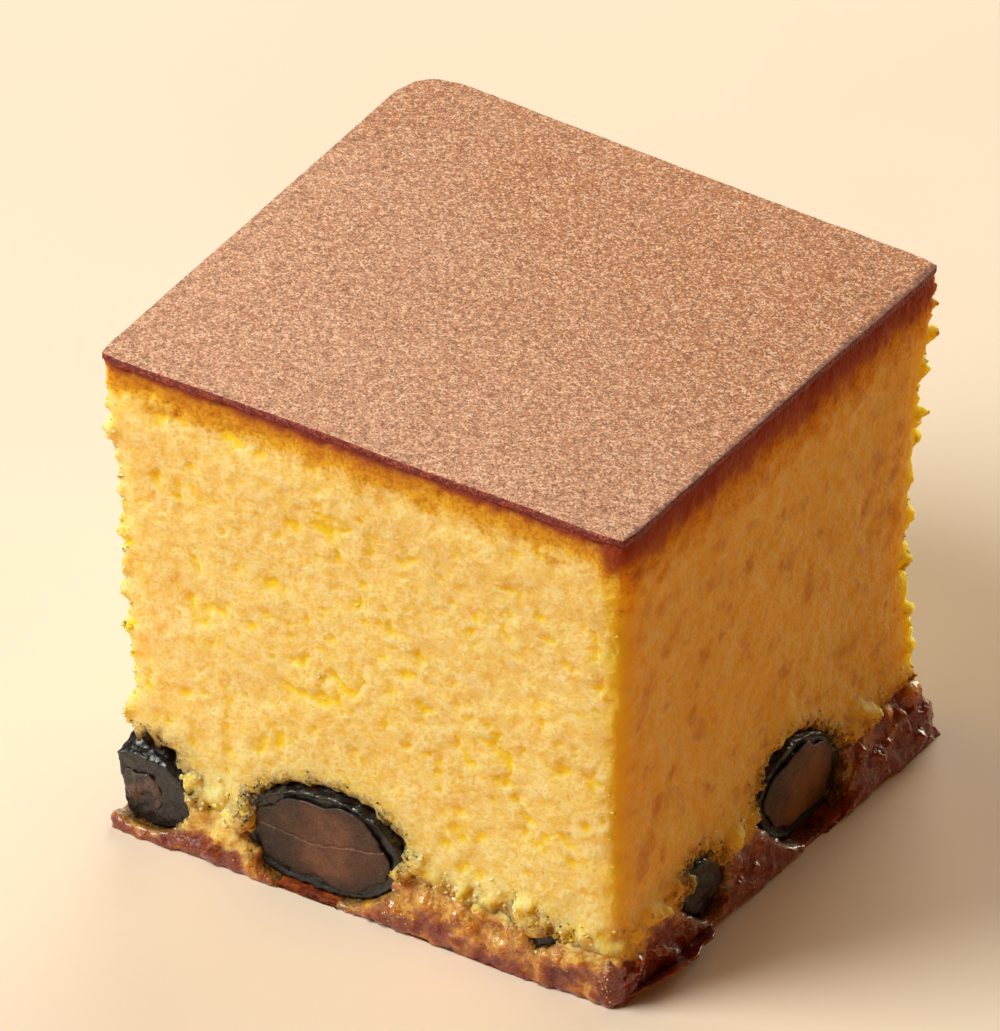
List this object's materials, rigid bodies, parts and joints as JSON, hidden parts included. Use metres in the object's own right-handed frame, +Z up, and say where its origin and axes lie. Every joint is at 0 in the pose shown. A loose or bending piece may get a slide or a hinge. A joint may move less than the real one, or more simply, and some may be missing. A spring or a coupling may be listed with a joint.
{
  "type": "castella sponge cake",
  "caption": "Square-cut piece of castella sponge with a flat browned top and black soybeans set in its moist, soaked base.",
  "frame": {"origin": "middle of the bounding box, at the height of the surface the cake stands on", "axes": "+Z up, -Y the front cut side with the large bean, +X the right cut side, so +X runs along the front"},
  "size_m": [0.0606, 0.058, 0.0531],
  "materials": {
    "sponge": "soft, fine-pored yellow crumb under a thin matte brown crust",
    "crust": "matte browned cake skin with a fine leathery grain",
    "soaked_base": "moist, amber, translucent soaked crumb with a thin brown underside",
    "bean": "wet wrinkled black skin round smooth brown flesh"
  },
  "bodies": {
    "root": {"sponge": "sponge", "soaked_base": "soaked_base", "bean_front": "bean", "bean_corner": "bean", "bean_peek": "bean", "bean_right": "bean", "bean_right_small": "bean", "bean_back_right": "bean", "bean_back_left": "bean", "bean_left": "bean", "bean_left_small": "bean"}
  },
  "joints": []
}
